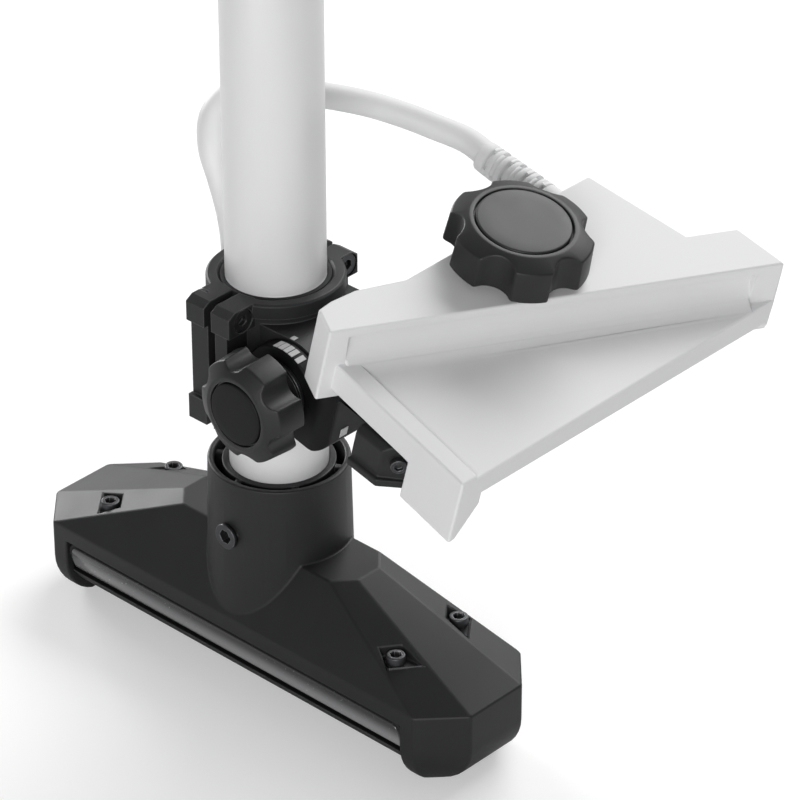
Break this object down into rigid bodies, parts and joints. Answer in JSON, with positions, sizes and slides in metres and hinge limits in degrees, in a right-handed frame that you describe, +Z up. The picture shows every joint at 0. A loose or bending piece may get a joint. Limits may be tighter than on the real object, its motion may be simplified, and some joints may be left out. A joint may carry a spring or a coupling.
{
  "type": "sonar transducer",
  "caption": "Winged sonar pod on the foot of a pole, with a wedge-shaped forward transducer on a tilting bracket that a split collar clamps to the pole.",
  "frame": {"origin": "middle of the pod's flat underside, on the pole's axis", "axes": "+Z up along the pole, +X along the pod's wings towards the side that the wedge looks to, +Y across the pod towards the wedge's far end"},
  "size_m": [0.1951, 0.1455, 0.239],
  "materials": {
    "black_plastic": "satin",
    "base_plastic": "matte",
    "window_gloss": "gloss",
    "seal_rubber": "matte",
    "piezo_ceramic": "matte",
    "backing_metal": "matte",
    "board_green": "satin",
    "screw_steel": "satin",
    "pole_pale": "satin",
    "wedge_pale": "satin",
    "lead_pale": "matte",
    "knob_plastic": "satin",
    "mark_white": "matte"
  },
  "bodies": {
    "pole_set": {"pod_housing": "black_plastic", "pod_base": "base_plastic", "pod_windows": "window_gloss", "window_seals": "seal_rubber", "pod_piezo_bars": "piezo_ceramic", "pod_backing": "backing_metal", "pod_circuit_board": "board_green", "pod_screws": "screw_steel", "pole_socket": "base_plastic", "set_screw": "screw_steel", "pole": "pole_pale", "lead_grommet": "seal_rubber", "clamp_rear": "black_plastic", "clamp_front": "black_plastic", "clamp_liner": "seal_rubber", "clamp_bolts": "screw_steel", "clamp_nuts": "screw_steel", "tilt_pointer": "mark_white", "lead": "lead_pale"},
    "bracket": {"tilt_arm": "black_plastic", "tilt_scale": "mark_white", "tilt_washer": "screw_steel", "tilt_nut": "screw_steel", "lock_block": "black_plastic", "lock_screw": "screw_steel", "wedge_body": "wedge_pale", "wedge_array_long": "piezo_ceramic", "wedge_array_side": "piezo_ceramic", "wedge_washer": "seal_rubber", "wedge_nut": "screw_steel", "cable_gland": "lead_pale"},
    "tilt_handle": {"tilt_knob": "knob_plastic", "tilt_knob_cap": "knob_plastic", "tilt_bolt": "screw_steel"},
    "wedge_handle": {"wedge_knob": "knob_plastic", "wedge_knob_cap": "knob_plastic", "wedge_bolt": "screw_steel"}
  },
  "joints": [
    {"name": "tilt", "type": "hinge", "parent": "pole_set", "child": "bracket", "pos_m": [0.023, 0, 0.1172], "axis": [0, 1, 0], "range_deg": [-29, 30], "deforming": ["lead"]},
    {"name": "tilt_knob_turn", "type": "hinge", "parent": "bracket", "child": "tilt_handle", "pos_m": [0.023, 0, 0.1172], "axis": [0, -1, 0], "continuous": true},
    {"name": "wedge_knob_turn", "type": "hinge", "parent": "bracket", "child": "wedge_handle", "pos_m": [0.05056, 0.0367, 0.11033], "axis": [0.2419, 0, 0.9703], "continuous": true}
  ]
}
